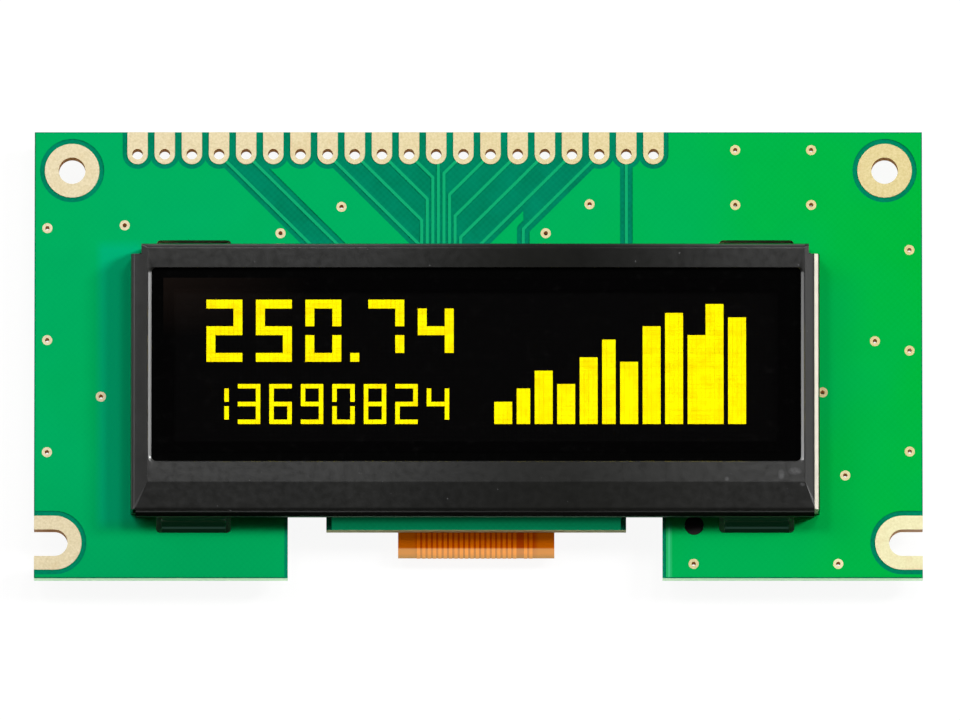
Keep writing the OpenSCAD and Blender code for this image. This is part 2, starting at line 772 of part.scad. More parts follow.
module bezel() {
    color([0.12, 0.12, 0.13]) {
        difference() {
            bezel_form(0, z_copper);
            bezel_form(sheet_t, z_copper - 1);
            translate([0, 0, z_face - 2 * sheet_t - slope_drop])
                linear_extrude(2 * sheet_t + slope_drop + 1)
                    round_rect([window_x0, window_y0], [window_x1, window_y1], window_r);
            for (x = [bezel_x0 - 1, bezel_x1 - relief], y = [bezel_y0 - 1, bezel_y1 - relief])
                translate([x, y, z_copper - 1])
                    cube([relief + 1, relief + 1, bezel_rise + 2]);
        }
        for (s = [-1, 1])
            translate([bezel_mid + s * tab_spacing / 2, 0, 0]) {
                translate([0, bezel_y1, 0])
                    along_x(tab_w)
                        tab_section();
                translate([0, bezel_y0, 0])
                    mirror([0, 1, 0])
                        along_x(tab_w)
                            tab_section();
            }
    }
}

// Strips between the bezel's face and the front glass, above and below the window
module gasket_strips() {
    color([0.1, 0.1, 0.1]) {
        block([glass_x0 + 1, window_y1 + 0.3, z_glass], [glass_x1 - 1, glass_y1, z_glass + gasket_t]);
        block([glass_x0 + 1, window_y0 - rim_bottom + 0.1, z_glass],
            [glass_x1 - 1, window_y0 - 0.3, z_glass + gasket_t]);
    }
}

module polarizer() {
    color([0.1, 0.1, 0.12, 0.6])
        block([display_x - dots_w / 2 - polarizer_margin, display_y - dots_h / 2 - polarizer_margin, z_glass],
            [display_x + dots_w / 2 + polarizer_margin, display_y + dots_h / 2 + polarizer_margin,
                z_glass + polarizer_t]);
}

module front_glass() {
    color([0.2, 0.22, 0.24, 0.5])
        block([glass_x0, glass_y0, z_glass_back], [glass_x1, glass_y1, z_glass]);
}

// Dark film that holds the dots, inside the seal
module organic_layer() {
    m = 0.5;
    color([0.03, 0.03, 0.04])
        block([display_x - dots_w / 2 - m, display_y - dots_h / 2 - m, z_cap],
            [display_x + dots_w / 2 + m, display_y + dots_h / 2 + m, z_glass_back - lit_t]);
}

// Rectangle of lit dots, from column c and row r, counted from the lower left corner
module dots(c, r, w, h) {
    low = [display_x - dots_w / 2, display_y - dots_h / 2] + dot_pitch * [c, r];
    translate([low[0], low[1], z_glass_back - lit_t])
        cube([w * dot_pitch, h * dot_pitch, lit_t]);
}

// Seven-segment digit, w dots wide and 2 h + 3 t dots high, with strokes t dots thick
segments = [[1, 1, 1, 0, 1, 1, 1], [0, 0, 1, 0, 0, 1, 0], [1, 0, 1, 1, 1, 0, 1], [1, 0, 1, 1, 0, 1, 1],
    [0, 1, 1, 1, 0, 1, 0], [1, 1, 0, 1, 0, 1, 1], [1, 1, 0, 1, 1, 1, 1], [1, 0, 1, 0, 0, 1, 0],
    [1, 1, 1, 1, 1, 1, 1], [1, 1, 1, 1, 0, 1, 1]];
module digit(n, c, r, w, h, t) {
    s = segments[n];
    for (k = [0:2])
        if (s[[6, 3, 0][k]] == 1)
            dots(c, r + k * (h + t), w, t);
    for (k = [0:3])
        if (s[[4, 5, 1, 2][k]] == 1)
            dots(c + (k % 2) * (w - t), r + t + floor(k / 2) * (h + t), t, h);
}

// What the display shows: two rows of plain numbers and a bar graph
bars = [5, 8, 12, 9, 15, 19, 14, 22, 25, 20, 27, 24];
module lit_dots() {
    color([1, 0.92, 0.05]) {
        for (i = [0:4])
            digit([2, 5, 0, 7, 4][i], 6 + i * 11 + (i > 2 ? 3 : 0), 17, 8, 4, 2);
        dots(38, 17, 2, 2);
        for (i = [0:7])
            digit([1, 3, 6, 9, 0, 8, 2, 4][i], 6 + i * 7, 3, 5, 3, 1);
        for (i = [0:len(bars) - 1])
            dots(70 + i * 4.75, 3, 3.75, bars[i]);
    }
}

module panel_seal() {
    color([0.25, 0.25, 0.25])
        difference() {
            block([glass_x0, cap_y0, z_cap], [glass_x1, glass_y1, z_glass_back]);
            block([glass_x0 + seal_w, cap_y0 + seal_w, z_cap - 1],
                [glass_x1 - seal_w, glass_y1 - seal_w, z_glass_back + 1]);
        }
}

module rear_glass() {
    color([0.2, 0.22, 0.24])
        block([glass_x0, cap_y0, z_cap_back], [glass_x1, glass_y1, z_cap]);
}

// Foam strips that press the panel up against the bezel
module foam_strips() {
    w = 3;
    color([0.13, 0.13, 0.13])
        for (y = [cap_y0 + 0.3, glass_y1 - w - 1.2])
            block([glass_x0 + 0.5, y, z_copper], [glass_x1 - 0.5, y + w, z_cap_back]);
}

module driver_chip() {
    y = cap_y0 - 0.35 - driver_w;
    color([0.35, 0.35, 0.4])
        block([display_x - driver_l / 2, y, z_glass_back - driver_t],
            [display_x + driver_l / 2, y + driver_w, z_glass_back]);
}

module flex_tail() {
    color([0.78, 0.36, 0.02])
        translate([display_x, 0, 0])
            along_x(flex_w)
                polygon(strip(concat(flex_upper, flex_lower), -flex_t / 2, flex_t / 2));
}

// Copper lines on the outer side of the tail, with one place left free
module flex_conductors() {
    color([0.9, 0.5, 0.15])
        for (i = [0:flex_lines - 1])
            if (i != free_line)
                translate([conductor_x0 + i * flex_pitch, 0, 0])
                    along_x(conductor_w)
                        polygon(strip(flex_lower, flex_t / 2, flex_t / 2 + conductor_t));
}

module locating_pin() {
    color([0.1, 0.1, 0.1])
        translate([cutout_x1 + pin_from_cutout, bezel_y0 - pin_out, z_lands])
            cylinder(h = board_t, d = pin_d);
}

// Child stands on the lands at place p, with its own +Z pointing away from the back of the board
module on_back(p) {
    translate([p[0], p[1], z_lands])
        rotate([180, 0, 0])
            rotate(p[2])
                children();
}

// The two lands of a part at place p: their middles stand reach from the part's middle
module land_pair(p, reach, size) {
    translate([p[0], p[1]])
        rotate(p[2])
            for (s = [-1, 1])
                translate([s * reach, 0])
                    square(size, center = true);
}

// Metal ends and the block between them of a small two-ended part
module chip_ends(h) {
    for (s = [-1, 1])
        translate([s * (chip_l - end_l) / 2, 0, h / 2])
            cube([end_l, chip_w, h], center = true);
}

module chip_block(h) {
    rim = 0.04;
    translate([0, 0, h / 2])
        cube([chip_l - 2 * end_l, chip_w - 2 * rim, h - 2 * rim], center = true);
}

// Solder drawn up the end faces of a small part
module chip_fillets(h) {
    for (s = [0, 180])
        rotate(s)
            translate([chip_l / 2, 0, 0])
                rotate([90, 0, 0])
                    linear_extrude(chip_w - 0.2, center = true)
                        polygon([[0, 0], [pad_over - 0.08, 0], [0.1, h * 0.3], [0, h * 0.6]]);
}

// Gull-wing leads in a row along X, one row on each side of a body of width w
module gull_leads(count, pitch, w, h, lead_w) {
    mid = h * 0.45;
    knee = w / 2 + 0.28;
    for (s = [0, 180], i = [0:count - 1])
        rotate(s)
            translate([(i - (count - 1) / 2) * pitch, 0, 0])
                along_x(lead_w)
                    polygon([[w / 2, mid], [w / 2, mid + lead_t], [knee, mid + lead_t], [knee, lead_t],
                        [w / 2 + lead_reach, lead_t], [w / 2 + lead_reach, 0], [knee - lead_t, 0],
                        [knee - lead_t, mid]]);
}

// Moulded body of length l, width w and height h over a gap, drafted to both sides of its parting line
module moulded_body(l, w, h, gap) {
    draft = 0.1;
    mid = h * 0.45 + lead_t / 2;
    intersection() {
        along_x(l)
            polygon([[-w / 2 + draft, gap], [w / 2 - draft, gap], [w / 2, mid - lead_t],
                [w / 2, mid + lead_t], [w / 2 - draft, h], [-w / 2 + draft, h], [-w / 2, mid + lead_t],
                [-w / 2, mid - lead_t]]);
        rotate(90)
            along_x(w)
                polygon([[-l / 2 + draft, gap], [l / 2 - draft, gap], [l / 2, mid - lead_t],
                    [l / 2, mid + lead_t], [l / 2 - draft, h], [-l / 2 + draft, h], [-l / 2, mid + lead_t],
                    [-l / 2, mid - lead_t]]);
    }
}

// Lands under the rear parts and under the soldered fingers of the flex tail
module rear_land_shapes() {
    for (i = [0:flex_lines - 1])
        if (i != free_line)
            translate([conductor_x0 + i * flex_pitch - conductor_w / 2, finger_y + 0.2])
                square([conductor_w, finger_l + 0.4]);
    for (p = concat(capacitors_at, resistors_at))
        land_pair(p, chip_land, [end_l + pad_over, chip_w]);
    for (p = tantalums_at)
        land_pair(p, tantalum_land, [block_land_l, tantalum_w - 0.4]);
    land_pair(inductor_at, inductor_land, [block_land_l, inductor_w - 1]);
    land_pair(diode_at, diode_land, [0.8, 0.9]);
    for (i = [-1:1])
        land_pair(converter_at + [i * lead_pitch, 0, 90], converter_land, [0.7, 0.55]);
}

module rear_lands() {
    color([0.93, 0.84, 0.62])
        translate([0, 0, z_lands])
            linear_extrude(copper_t)
                rear_land_shapes();
}

// Shielded inductor: a square ferrite block with cut corners and a round core in a ring groove
module inductor() {
    cut = 0.6;
    color([0.22, 0.22, 0.23])
        on_back(inductor_at)
            difference() {
                translate([0, 0, terminal_t])
                    linear_extrude(inductor_h - terminal_t)
                        polygon([for (k = [0:3], s = [-1, 1])
                            let (a = 90 * k, c = inductor_w / 2, d = inductor_w / 2 - cut)
                            [c * cos(a) - s * d * sin(a), c * sin(a) + s * d * cos(a)]]);
                translate([0, 0, inductor_h - 0.25])
                    difference() {
                        cylinder(h = 1, r = inductor_w * 0.42);
                        translate([0, 0, -1])
                            cylinder(h = 3, r = inductor_w * 0.36);
                    }
            }
}

module inductor_ends() {
    color([0.8, 0.8, 0.8])
        on_back(inductor_at)
            for (s = [-1, 1])
                translate([s * (inductor_w / 2 - 0.5), 0, terminal_t / 2])
                    cube([1, inductor_w - 1.3, terminal_t], center = true);
}

// Tantalum capacitors: moulded blocks with flat terminals folded under them
module tantalum_capacitors() {
    color([0.85, 0.6, 0.15])
        for (p = tantalums_at)
            on_back(p)
                moulded_body(tantalum_l - 2 * terminal_t, tantalum_w, tantalum_h, terminal_t);
}

module tantalum_ends() {
    foot = 0.8;
    color([0.8, 0.8, 0.8])
        for (p = tantalums_at)
            on_back(p)
                for (s = [0, 180])
                    rotate([0, 0, s])
                        rotate([90, 0, 0])
                            linear_extrude(tantalum_w - 0.6, center = true)
                                polygon([[tantalum_l / 2 - foot, 0], [tantalum_l / 2, 0],
                                    [tantalum_l / 2, tantalum_h * 0.55],
                                    [tantalum_l / 2 - terminal_t, tantalum_h * 0.55],
                                    [tantalum_l / 2 - terminal_t, terminal_t],
                                    [tantalum_l / 2 - foot, terminal_t]]);
}

module capacitors() {
    color([0.72, 0.6, 0.45])
        for (p = capacitors_at)
            on_back(p)
                chip_block(capacitor_h);
}

module capacitor_ends() {
    color([0.8, 0.8, 0.8])
        for (p = capacitors_at)
            on_back(p)
                chip_ends(capacitor_h);
}

module resistors() {
    color([0.1, 0.1, 0.12])
        for (p = resistors_at)
            on_back(p)
                chip_block(resistor_h);
}

module resistor_ends() {
    color([0.8, 0.8, 0.8])
        for (p = resistors_at)
            on_back(p)
                chip_ends(resistor_h);
}

module converter() {
    color([0.1, 0.1, 0.11])
        on_back(converter_at)
            moulded_body(converter_l, converter_w, converter_h, standoff);
}

module converter_leads() {
    color([0.8, 0.8, 0.8])
        on_back(converter_at)
            gull_leads(3, lead_pitch, converter_w, converter_h, 0.4);
}

module diode() {
    color([0.1, 0.1, 0.11])
        on_back(diode_at)
            moulded_body(diode_l, diode_w, diode_h, standoff);
}

module diode_leads() {
    color([0.8, 0.8, 0.8])
        on_back(diode_at)
            rotate(90)
                gull_leads(1, 1, diode_l, diode_h, 0.6);
}

// Solder at the ends of the small parts and along the soldered end of the flex tail
module solder_fillets() {
    color([0.78, 0.78, 0.8]) {
        for (p = capacitors_at)
            on_back(p)
                chip_fillets(capacitor_h);
        for (p = resistors_at)
            on_back(p)
                chip_fillets(resistor_h);
        for (i = [0:flex_lines - 1])
            if (i != free_line)
                translate([conductor_x0 + i * flex_pitch, 0, 0])
                    along_x(conductor_w)
                        polygon([[parts_y, z_lands], [parts_y + 0.5, z_lands], [parts_y, z_lands - flex_t]]);
    }
}

pcb();
front_pour();
signal_traces();
rear_pour();
rear_traces();
header_pads();
mount_pads();
via_pads();
bezel();
gasket_strips();
polarizer();
front_glass();
organic_layer();
lit_dots();
panel_seal();
rear_glass();
foam_strips();
driver_chip();
flex_tail();
flex_conductors();
locating_pin();
rear_lands();
inductor();
inductor_ends();
tantalum_capacitors();
tantalum_ends();
capacitors();
capacitor_ends();
resistors();
resistor_ends();
converter();
converter_leads();
diode();
diode_leads();
solder_fillets();
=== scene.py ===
"""Looks of a small OLED display module: green circuit board, black stamped bezel, glass panel with lit
dots, folded flex tail and the small parts on the back. Sizes are in metres, in the CAD's own frame."""
import math

import bmesh
import bpy
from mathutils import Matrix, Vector
from mathutils.bvhtree import BVHTree


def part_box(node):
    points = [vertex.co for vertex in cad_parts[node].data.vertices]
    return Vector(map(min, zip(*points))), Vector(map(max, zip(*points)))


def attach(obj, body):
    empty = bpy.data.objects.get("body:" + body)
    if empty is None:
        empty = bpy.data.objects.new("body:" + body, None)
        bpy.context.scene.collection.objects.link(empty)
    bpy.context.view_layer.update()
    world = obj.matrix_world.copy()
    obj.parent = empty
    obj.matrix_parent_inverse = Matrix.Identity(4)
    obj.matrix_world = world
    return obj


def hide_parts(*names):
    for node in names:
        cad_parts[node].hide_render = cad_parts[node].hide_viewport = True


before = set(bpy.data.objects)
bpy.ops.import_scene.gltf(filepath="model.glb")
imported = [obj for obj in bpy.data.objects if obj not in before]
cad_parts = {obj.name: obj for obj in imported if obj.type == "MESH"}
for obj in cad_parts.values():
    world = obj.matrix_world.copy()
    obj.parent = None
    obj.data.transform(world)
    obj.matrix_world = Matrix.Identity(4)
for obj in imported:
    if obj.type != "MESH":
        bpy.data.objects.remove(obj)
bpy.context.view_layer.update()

MM = 0.001
WHITE = (1, 1, 1, 1)
CLOTH_PITCH = 0.62 * MM    # the board's glass cloth, seen through its mask
DOT_PITCH = 0.42 * MM
DOT_SIDE = 0.408 * MM
DOT_THICKNESS = 0.7        # share of the CAD's lit layer
DOT_MARGIN = 0.5 * MM      # from the film's edge to the first dot
SHEET = 0.4 * MM           # the bezel's sheet
TAB_FOLD = 2.6 * MM        # how far a tab lies along the board's back
TAB_HALF = 3 * MM
TAB_OUT = 26.3 * MM        # from the bezel's middle to a tab's middle
TAB_BEND = 0.2 * MM
EDGE_BEVEL = 0.035 * MM


# ---------------------------------------------------------------- finishes

def tone(red, green, blue):
    """Linear colour from a display colour in 0 to 255."""
    parts = [c / 255 for c in (red, green, blue)]
    return tuple(c / 12.92 if c <= 0.04045 else ((c + 0.055) / 1.055) ** 2.4 for c in parts) + (1.0,)


BLACK = tone(0, 0, 0)


class Nodes:
    """A shader tree and short ways to add nodes to it, all on one kind of coordinates."""

    def __init__(self, tree, coordinates):
        self.tree = tree
        self.place = tree.nodes.new("ShaderNodeTexCoord").outputs[coordinates]

    def add(self, kind, inputs=None, **settings):
        node = self.tree.nodes.new("ShaderNode" + kind)
        for key, value in settings.items():
            setattr(node, key, value)
        for key, value in (inputs or {}).items():
            self.plug(value, node.inputs[key])
        return node

    def plug(self, value, socket):
        """Links an output to a socket, or sets the socket to a plain value."""
        if isinstance(value, bpy.types.NodeSocket):
            self.tree.links.new(value, socket)
        else:
            socket.default_value = value

    def math(self, operation, a, b=0.0):
        return self.add("Math", {0: a, 1: b}, operation=operation).outputs[0]

    def times(self, product, *others):
        for other in others:
            product = self.math("MULTIPLY", product, other)
        return product

    def most(self, value, *others):
        """The largest of the values."""
        for other in others:
            value = self.math("MAXIMUM", value, other)
        return value

    def plus(self, a, b):
        return self.math("ADD", a, b)

    def minus(self, a, b):
        return self.math("SUBTRACT", a, b)

    def over(self, value, level):
        """1 where the value is above the level."""
        return self.math("GREATER_THAN", value, level)

    def under(self, value, level):
        """1 where the value is below the level."""
        return self.math("LESS_THAN", value, level)

    def within(self, value, low, high):
        """1 where the value lies between low and high."""
        return self.times(self.over(value, low), self.under(value, high))

    def away(self, value, level):
        """How far the value is from the level, either way."""
        return self.math("ABSOLUTE", self.minus(value, level))

    def span(self, value, low, high, to_low=0.0, to_high=1.0):
        """Value taken from low..high to to_low..to_high, held at the ends."""
        inputs = {"Value": value, "From Min": low, "From Max": high, "To Min": to_low, "To Max": to_high}
        return self.add("MapRange", inputs).outputs["Result"]

    def axis(self, name):
        return self.add("SeparateXYZ", {0: self.place}).outputs[name]


class Finish(Nodes):
    """A material with one Principled shader and the nodes that feed it, all on Object coordinates."""

    def __init__(self, name, **values):
        self.material = bpy.data.materials.new(name)
        self.material.use_nodes = True
        super().__init__(self.material.node_tree, "Object")
        self.shader = self.tree.nodes["Principled BSDF"]
        for key, value in values.items():
            self.feed(key.replace("_", " "), value)

    def feed(self, name, value):
        """Links or sets one of the shader's own sockets."""
        self.plug(value, self.shader.inputs[name])

    def colour(self, value):
        self.feed("Base Color", value)

    def rough(self, value):
        self.feed("Roughness", value)

    def glow(self, colour, strength=1.0):
        """Light that the surface gives off or lets through."""
        self.feed("Emission Color", colour)
        self.feed("Emission Strength", strength)

    def bump(self, height, distance, strength=1.0):
        inputs = {"Height": height, "Distance": distance, "Strength": strength}
        self.feed("Normal", self.add("Bump", inputs).outputs["Normal"])

    def mix(self, factor, a, b):
        return self.add("Mix", {0: factor, 6: a, 7: b}, data_type="RGBA").outputs[2]

    def noise(self, scale, detail=2.0, roughness=0.5, stretch=None):
        vector = self.place
        if stretch:
            vector = self.add("Mapping", {"Vector": self.place, "Scale": stretch}).outputs[0]
        inputs = {"Vector": vector, "Scale": scale, "Detail": detail, "Roughness": roughness}
        return self.add("TexNoise", inputs).outputs["Fac"]

    def cloth(self):
        """Plain weave of glass cloth: two crossed waves of one pitch, 0 to 1."""
        turns = 2 * math.pi / CLOTH_PITCH
        waves = [self.math("SINE", self.times(self.axis(name), turns)) for name in "XY"]
        return self.span(self.times(*waves), -1.0, 1.0)


def board_heights():
    low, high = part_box("pcb")
    return low.z, high.z


def mask_finish(name, roughness):
    """Matt base under a thin clear coat, so that no light washes out the green."""
    return Finish(name, Roughness=roughness, Specular_IOR_Level=0.0, Coat_Weight=0.25, Coat_Roughness=0.1)


def tongue_glow(f, upper):
    """Painted glow on the thin tongue, standing in for light through it from behind, on the part
    that clears the bezel's wall.
    """
    tail_low, tail_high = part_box("flex_tail")
    y = f.axis("Y")
    clear_of_wall = f.span(y, -15.5 * MM, -16.0 * MM, 0.3, 1.0)
    from_middle = f.away(f.axis("X"), (tail_low.x + tail_high.x) / 2)
    tongue = f.times(f.under(from_middle, 13.5 * MM), f.under(y, -15.3 * MM), clear_of_wall)
    return f.mix(f.times(tongue, upper), BLACK, tone(3, 101, 63))


def laminate_mask():
    """Dark green mask on bare laminate; the cut walls show pale glass cloth. The lowest wall has a painted
    glow that stands in for light through it from behind, and the wall of the locating pin's hole is
    painted dark, a painted shade."""
    f = mask_finish("mask_on_laminate", 0.42)
    back, front = board_heights()
    x, y, z = f.axis("X"), f.axis("Y"), f.axis("Z")
    upper = f.over(z, front - 0.02 * MM)
    face = f.most(upper, f.under(z, back + 0.02 * MM))
    mottle = f.span(f.noise(420.0, 3.0), 0.3, 0.7)
    mask = f.mix(mottle, tone(0, 118, 84), tone(0, 132, 98))
    mask = f.mix(f.times(f.cloth(), 0.22), mask, tone(0, 158, 112))
    fibres = f.noise(1500.0, 3.0, stretch=(1, 1, 9))
    wall = f.mix(f.span(fibres, 0.35, 0.65), tone(222, 218, 178), tone(176, 186, 132))
    # Painted shade: the wall of the locating pin's hole is painted dark.
    pin_low, pin_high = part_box("locating_pin")
    by_pin = f.times(f.within(x, pin_low.x - 0.2 * MM, pin_high.x + 0.2 * MM),
                     f.within(y, pin_low.y - 0.2 * MM, pin_high.y + 0.2 * MM))
    wall = f.mix(by_pin, wall, tone(20, 46, 30))
    f.colour(f.mix(face, wall, mask))
    f.bump(f.noise(2500.0, 2.0), 0.01 * MM, 0.25)
    # Painted glow on the lowest cut wall, standing in for light through it from behind.
    low_edge = f.times(f.minus(1.0, face), f.under(y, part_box("pcb")[0].y + 0.05 * MM))
    f.glow(f.mix(low_edge, tongue_glow(f, upper), tone(148, 196, 166)))
    return f.material


def painted_shadow_tint(f):
    """Painted shade: the strip at the left of the bezel, in the bezel's shadow, where the mask is given a
    bluer green to colour that shadow.
    """
    x, y = f.axis("X"), f.axis("Y")
    strip = f.times(f.span(x, -35.9 * MM, -35.1 * MM), f.span(x, -31 * MM, -32 * MM))
    return f.times(strip, f.span(y, -16.8 * MM, -15.4 * MM), f.span(y, 11 * MM, 10 * MM, 0.0, 0.85))


def cut_out_glint(f):
    """Painted highlight: a pale line along the copper's edge at the right of the cut-out, a bright core
    and soft sides.
    """
    x = f.axis("X")
    line = f.plus(f.times(f.within(x, 17.53 * MM, 18.10 * MM), 0.3),
                  f.times(f.within(x, 17.72 * MM, 17.91 * MM), 0.6))
    return f.times(line, f.span(f.axis("Y"), -15.5 * MM, -16.5 * MM))


def copper_mask(name, left, right):
    """Light green mask over copper. Its green turns slowly along the board, painted light that follows
    the light's colour across the board, and it is darker towards the lower left, a painted shade.
    """
    f = mask_finish(name, 0.4)
    low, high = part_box("pcb")
    x, y = f.axis("X"), f.axis("Y")
    on_front = f.over(f.axis("Z"), board_heights()[0] + 0.1 * MM)
    # Painted light: the green turns from left to right as the light's colour does.
    green = f.mix(f.span(x, -8 * MM, high.x), left, right)
    mottle = f.span(f.noise(260.0, 4.0, 0.6), 0.3, 0.7)
    green = f.mix(f.times(mottle, 0.1), green, tone(0, 140, 66))
    # Painted shade: darker towards the lower left.
    lower_left = f.times(f.span(y, -10 * MM, low.y), f.span(x, 0.0, -24 * MM, 0.0, 0.5))
    green = f.mix(lower_left, green, tone(0, 144, 84))
    patch = f.times(f.span(f.noise(55.0, 2.0), 0.4, 0.65), 0.25)
    green = f.mix(patch, green, tone(0, 166, 108))
    # Painted shade: a bluer green in the bezel's shadow at its left, on the front only.
    green = f.mix(f.times(painted_shadow_tint(f), on_front), green, tone(0, 176, 122))
    cloth = f.cloth()
    green = f.mix(f.times(cloth, 0.1), green, tone(0, 196, 96))
    # The pale line by the cut-out is a painted highlight.
    f.colour(f.mix(f.times(cut_out_glint(f), on_front), green, tone(64, 198, 134)))
    f.bump(f.plus(f.noise(1800.0, 2.0), f.times(cloth, 0.3)), 0.012 * MM, 0.3)
    return f.material


def gold():
    """Thin matt gold over rolled copper. It is yellower to the right, painted light that follows the
    light's colour across the board, and palest at the lower right, a painted highlight. On the walls of
    holes it is darker and browner, a painted shade, with a painted glow for light bouncing between them."""
    f = Finish("gold_plate", Metallic=0.35, Specular_IOR_Level=0.4)
    low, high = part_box("pcb")
    x = f.axis("X")
    inside = f.within(f.axis("Z"), low.z + 0.01 * MM, high.z - 0.01 * MM)
    grain = f.noise(5200.0, 4.0, 0.6)
    # Painted light: yellower to the right.
    warm = f.span(x, low.x, high.x)
    # Painted highlight: palest at the lower right.
    corner = f.times(f.span(f.axis("Y"), -8 * MM, -14 * MM), f.span(x, 22 * MM, 36 * MM))
    dull = f.mix(warm, tone(216, 200, 158), tone(208, 190, 126))
    dull = f.mix(corner, dull, tone(230, 222, 170))
    bright = f.mix(warm, tone(236, 222, 188), tone(228, 212, 158))
    bright = f.mix(corner, bright, tone(244, 238, 194))
    face = f.mix(f.span(grain, 0.3, 0.7), dull, bright)
    stain = f.times(f.span(f.noise(700.0, 3.0), 0.55, 0.8), 0.35)
    face = f.mix(stain, face, tone(214, 186, 132))
    # Painted shade on the walls of holes, and a painted glow there for light bouncing between them.
    f.colour(f.mix(inside, face, tone(150, 108, 62)))
    f.glow(f.mix(inside, BLACK, tone(92, 58, 26)))
    f.rough(f.span(grain, 0.2, 0.8, 0.38, 0.58))
    f.bump(grain, 0.006 * MM, 0.4)
    return f.material


# Each scuff's distance from the bezel's right and lower edges and its half sizes, in mm.
SCUFFS = ((3.6, 6.15, 0.35, 0.55), (2.35, 6.45, 0.7, 0.4), (1.65, 5.2, 0.3, 0.2), (8.7, 5.7, 0.25, 0.25))


def scuff_marks(f, x, y, low, high):
    """A few soft scuffs near one corner, and small specks everywhere."""
    streak = f.span(f.noise(1300.0, 4.0, 0.7), 0.3, 0.7)
    marks = f.times(f.span(f.noise(2600.0, 1.0), 0.79, 0.82), 0.25)
    for right, up, wide, tall in SCUFFS:
        from_x = f.math("DIVIDE", f.minus(x, high.x - right * MM), wide * MM)
        from_y = f.math("DIVIDE", f.minus(y, low.y + up * MM), tall * MM)
        apart = f.plus(f.times(from_x, from_x), f.times(from_y, from_y))
        marks = f.most(marks, f.times(f.span(apart, 1.0, 0.0), streak, 0.3))
    return marks


def window_edge_highlight(f, x, y, low, high):
    """Painted highlight along the window's right edge, pale grey, brighter lower down."""
    painted_highlight = f.times(f.span(y, high.y - 5 * MM, low.y + 6 * MM, 0.0, 0.6),
                  f.within(x, high.x - 1.8 * MM, high.x - 1.5 * MM))
    return f.times(painted_highlight, f.within(y, low.y + 7.5 * MM, high.y - 5 * MM))


def satin_share(f, x, y, z, low, high):
    """Where the paint has its satin sheen: on the face, the end walls and the tabs. It is dullest near
    one place along the bezel, and weaker on each side slope as far as its mitre."""
    end_walls = f.over(f.away(x, (low.x + high.x) / 2), (high.x - low.x) / 2 - 0.2 * MM)
    face = f.span(z, high.z - 0.55 * MM, high.z - 0.35 * MM)
    satin = f.most(face, end_walls, f.under(z, board_heights()[1]))
    from_dull = f.away(x, 7 * MM)
    satin = f.times(satin, f.span(from_dull, 2 * MM, 20 * MM, 0.75, 1.95))
    worn = f.times(f.over(y, high.y - 5.2 * MM), f.span(from_dull, 2 * MM, 16 * MM, 0.75, 0.0))
    satin = f.times(satin, f.minus(1.0, worn))
    climb = f.math("DIVIDE", f.minus(y, low.y + 2.6 * MM), 2.9 * MM)
    left, right = f.minus(x, low.x), f.minus(high.x, x)
    for inward, run, held in ((left, 1.58 * MM, 0.4), (right, 1.38 * MM, 0.64)):
        share = f.math("DIVIDE", inward, run)
        on_side = f.times(f.under(share, climb), f.under(share, 1.0))
        satin = f.times(satin, f.span(on_side, 0.0, 1.0, 1.0, 1.0 - held))
    return satin


def black_paint():
    """Satin black paint on stamped steel, with a painted highlight along the right bend. The foot of its
    lower wall has a painted reflection of the board's green, and the tabs in their slots a painted
    green glow that stands in for the board's reflection."""
    f = Finish("black_paint", Coat_Roughness=0.12)
    low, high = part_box("bezel")
    board = board_heights()[1]
    x, y, z = f.axis("X"), f.axis("Y"), f.axis("Z")
    cloud = f.span(f.noise(70.0, 3.0), 0.3, 0.7)
    paint = f.mix(cloud, tone(19, 19, 18), tone(27, 27, 25))
    # The scuffs, and the painted highlight along the window's right edge.
    marks = f.most(scuff_marks(f, x, y, low, high), window_edge_highlight(f, x, y, low, high))
    paint = f.mix(marks, paint, tone(170, 170, 172))
    # Painted reflection of the board's green on the foot of the lower wall.
    foot = f.times(f.under(y, low.y + 3 * MM), f.within(z, board, board + 0.85 * MM))
    paint = f.mix(foot, paint, tone(108, 140, 120))
    # Painted highlight along the right bend, pale and a little uneven.
    bend = f.times(f.within(x, high.x - 0.49 * MM, high.x - 0.13 * MM),
                   f.within(y, low.y + 2.7 * MM, high.y - 3.6 * MM))
    painted_highlight = f.times(bend, f.span(f.noise(500.0, 2.0), 0.2, 0.7, 0.72, 0.92))
    f.colour(f.mix(painted_highlight, paint, tone(236, 230, 210)))
    satin = satin_share(f, x, y, z, low, high)
    f.feed("Coat Weight", f.times(satin, 0.45))
    f.feed("Specular IOR Level", f.times(satin, 0.34))
    peel = f.noise(1400.0, 3.0, 0.55)
    f.rough(f.span(peel, 0.3, 0.7, 0.28, 0.36))
    f.bump(peel, 0.012 * MM, 0.25)
    # Painted glow: the tabs in their slots get the board's green as a painted reflection, lighter along
    # one ridge.
    in_slot = f.times(f.under(z, board), f.within(y, low.y, low.y + 3 * MM))
    ridge = f.within(y, low.y + 1.78 * MM, low.y + 1.98 * MM)
    f.glow(f.mix(in_slot, BLACK, f.mix(ridge, tone(2, 26, 12), tone(30, 54, 44))))
    return f.material


def lit_yellow():
    """Lit dots: yellow light, uneven from dot to dot."""
    f = Finish("lit_yellow", Roughness=0.5, Specular_IOR_Level=0.0)
    f.colour(tone(60, 55, 0))
    uneven = f.span(f.noise(900.0, 1.0), 0.3, 0.7)
    f.glow(f.mix(uneven, tone(250, 222, 0), tone(255, 242, 0)), 2.3)
    return f.material


